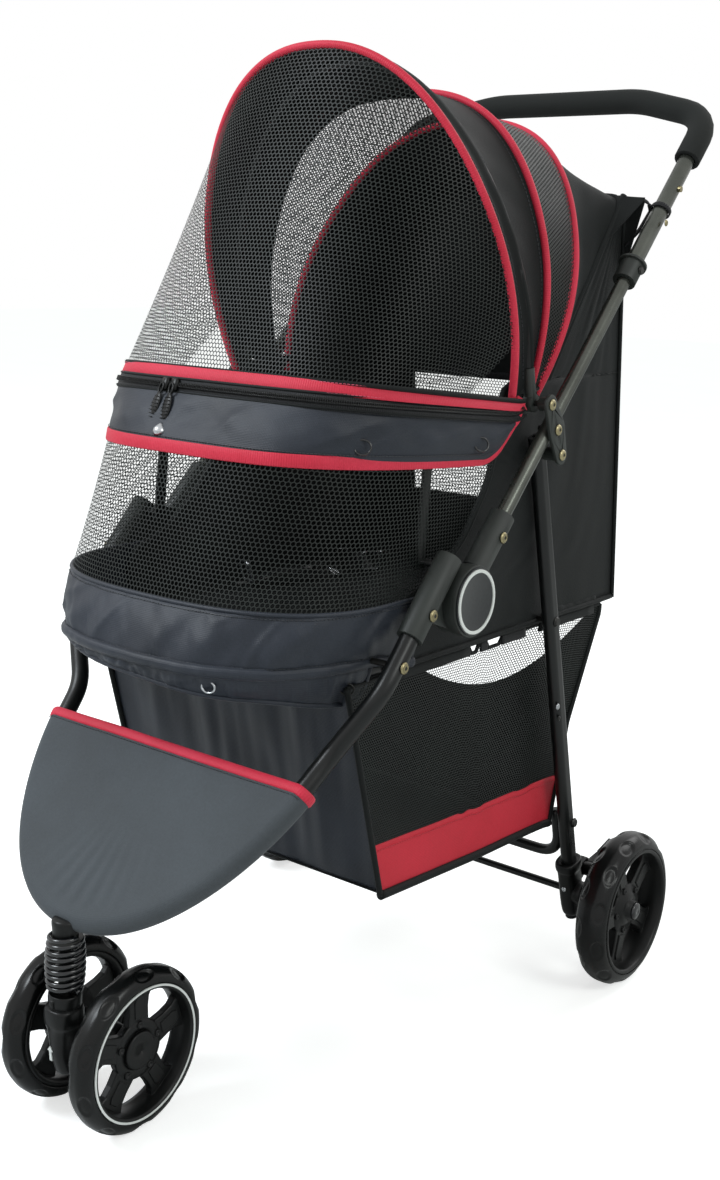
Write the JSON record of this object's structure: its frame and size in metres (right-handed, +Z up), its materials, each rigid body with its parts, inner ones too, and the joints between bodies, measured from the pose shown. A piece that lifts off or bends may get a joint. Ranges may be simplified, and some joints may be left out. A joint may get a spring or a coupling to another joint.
{
  "type": "pet stroller",
  "caption": "Folding pet stroller with one swivelling twin front caster, two rear wheels, a raked handle, a mesh cabin with a bow canopy, a front apron and a basket below",
  "frame": {"origin": "on the ground under the middle of the whole stroller", "axes": "+Z up, -Y the way it rolls forward, +X the stroller's left side"},
  "size_m": [0.518, 0.8469, 0.9981],
  "materials": {
    "frame_black": "semi-gloss powder coat",
    "tube_grey": "satin, slightly metallic",
    "plate_grey": "satin",
    "rivet_brass": "satin plated",
    "steel": "satin",
    "plastic_black": "moulded, satin",
    "plastic_gloss": "moulded, glossy",
    "plastic_grey": "moulded, satin",
    "plastic_pale": "printed ring on a dark cap",
    "foam_grip": "fine foam",
    "tyre_black": "smooth solid foam",
    "fabric_black": "coated woven polyester",
    "fabric_charcoal": "coated woven polyester",
    "fabric_red": "woven binding",
    "mesh_black": "knitted netting"
  },
  "bodies": {
    "rear_legs": {"rear_leg_left": "frame_black", "rear_leg_right": "frame_black", "rear_cross_bar": "frame_black", "axle_feet": "plastic_black", "rear_axle": "steel", "leg_screws": "rivet_brass"},
    "brake_left": {"brake_pedal_left": "plastic_black"},
    "brake_right": {"brake_pedal_right": "plastic_black"},
    "rear_wheel_left": {"rear_tyre_left": "tyre_black", "rear_rim_left": "plastic_black"},
    "rear_wheel_right": {"rear_tyre_right": "tyre_black", "rear_rim_right": "plastic_black"},
    "handle": {"handle_tube_left": "tube_grey", "handle_tube_right": "tube_grey", "handle_bow": "tube_grey", "handle_grip": "foam_grip", "handle_collars": "plastic_grey", "side_brackets": "plate_grey", "hub_upper_left": "plastic_grey", "hub_upper_right": "plastic_grey", "hub_caps": "plastic_pale", "handle_screws": "rivet_brass", "belt_rail": "frame_black", "belt_struts": "plate_grey", "belt_band": "fabric_black"},
    "button_left": {"handle_button_left": "steel"},
    "button_right": {"handle_button_right": "steel"},
    "zip": {"zip_pull": "plastic_gloss"},
    "front_frame": {"front_tube": "frame_black", "hub_lower_left": "plastic_grey", "hub_lower_right": "plastic_grey", "front_screws": "rivet_brass", "front_cover": "fabric_charcoal", "stem_socket": "plastic_black"},
    "swivel": {"swivel_stem": "steel", "spring": "frame_black"},
    "fork": {"fork": "plastic_gloss", "front_axle": "steel"},
    "front_wheel_left": {"front_tyre_left": "tyre_black", "front_rim_left": "plastic_black"},
    "front_wheel_right": {"front_tyre_right": "tyre_black", "front_rim_right": "plastic_black"},
    "floor_frame": {"floor_tube": "frame_black", "floor_board": "plastic_grey", "tub": "fabric_black", "front_window": "mesh_black", "side_panel_left": "fabric_black", "side_panel_right": "fabric_black", "rear_panel": "fabric_black", "basket": "fabric_black"},
    "canopy_rear": {"rear_bow": "fabric_red", "canopy_rear_panel": "fabric_black"},
    "canopy_front": {"canopy_arms": "plastic_grey", "main_bow": "frame_black", "front_bow": "fabric_red", "middle_bow": "fabric_red", "canopy_front_panel": "fabric_black", "canopy_mesh_panel": "mesh_black", "front_mesh": "mesh_black"}
  },
  "joints": [
    {"name": "handle_hinge", "type": "hinge", "parent": "rear_legs", "child": "handle", "pos_m": [0, 0.0714, 0.60055], "axis": [1, 0, 0], "range_deg": [-89, 0]},
    {"name": "fold_hinge", "type": "hinge", "parent": "handle", "child": "front_frame", "pos_m": [0, -0.08549, 0.477], "axis": [1, 0, 0], "range_deg": [0, 142], "deforming": ["tub", "front_window", "side_panel_left", "side_panel_right", "rear_panel", "basket", "belt_band", "canopy_front_panel", "canopy_mesh_panel", "canopy_rear_panel", "front_mesh"]},
    {"name": "floor_hinge", "type": "hinge", "parent": "rear_legs", "child": "floor_frame", "pos_m": [0, 0.12182, 0.416], "axis": [1, 0, 0], "range_deg": [-47.5, 0]},
    {"name": "canopy_rear_hinge", "type": "hinge", "parent": "handle", "child": "canopy_rear", "pos_m": [0, 0.04588, 0.65243], "axis": [1, 0, 0], "range_deg": [-25, 0]},
    {"name": "canopy_front_hinge", "type": "hinge", "parent": "canopy_rear", "child": "canopy_front", "pos_m": [0, 0.04588, 0.65243], "axis": [1, 0, 0], "range_deg": [-20.5, 0]},
    {"name": "rear_wheel_left_spin", "type": "hinge", "parent": "rear_legs", "child": "rear_wheel_left", "pos_m": [0.241, 0.21251, 0.084], "axis": [1, 0, 0], "continuous": true},
    {"name": "rear_wheel_right_spin", "type": "hinge", "parent": "rear_legs", "child": "rear_wheel_right", "pos_m": [-0.241, 0.21251, 0.084], "axis": [1, 0, 0], "continuous": true},
    {"name": "brake_left_pivot", "type": "hinge", "parent": "rear_legs", "child": "brake_left", "pos_m": [0, 0.24451, 0.1], "axis": [1, 0, 0], "range_deg": [-22, 0]},
    {"name": "brake_right_pivot", "type": "hinge", "parent": "rear_legs", "child": "brake_right", "pos_m": [0, 0.24451, 0.1], "axis": [1, 0, 0], "range_deg": [-22, 0]},
    {"name": "caster_swivel", "type": "hinge", "parent": "front_frame", "child": "swivel", "pos_m": [0, -0.39249, 0.186], "axis": [0, 0, 1], "continuous": true},
    {"name": "front_suspension", "type": "slide", "parent": "swivel", "child": "fork", "axis": [0, 0, 1], "range_m": [0, 0.012], "stiffness_N_per_m": 5000, "springref_m": -0.012, "deforming": ["spring"]},
    {"name": "front_wheel_left_spin", "type": "hinge", "parent": "fork", "child": "front_wheel_left", "pos_m": [0.045, -0.34749, 0.076], "axis": [1, 0, 0], "continuous": true},
    {"name": "front_wheel_right_spin", "type": "hinge", "parent": "fork", "child": "front_wheel_right", "pos_m": [-0.045, -0.34749, 0.076], "axis": [1, 0, 0], "continuous": true},
    {"name": "button_left_push", "type": "slide", "parent": "handle", "child": "button_left", "axis": [-1, 0, 0], "range_m": [0, 0.003], "stiffness_N_per_m": 500, "springref_m": -0.002},
    {"name": "button_right_push", "type": "slide", "parent": "handle", "child": "button_right", "axis": [1, 0, 0], "range_m": [0, 0.003], "stiffness_N_per_m": 500, "springref_m": -0.002},
    {"name": "zip_pull_swing", "type": "hinge", "parent": "handle", "child": "zip", "pos_m": [-0.05846, -0.22469, 0.67158], "axis": [0.9993, -0.0369, 0.0044], "range_deg": [-80, 0]}
  ],
  "couplings": [
    {"joint": "handle_hinge", "follows": "fold_hinge", "ratio": -0.62324},
    {"joint": "floor_hinge", "follows": "fold_hinge", "ratio": -0.33099},
    {"joint": "canopy_front_hinge", "follows": "canopy_rear_hinge", "ratio": 0.8}
  ]
}
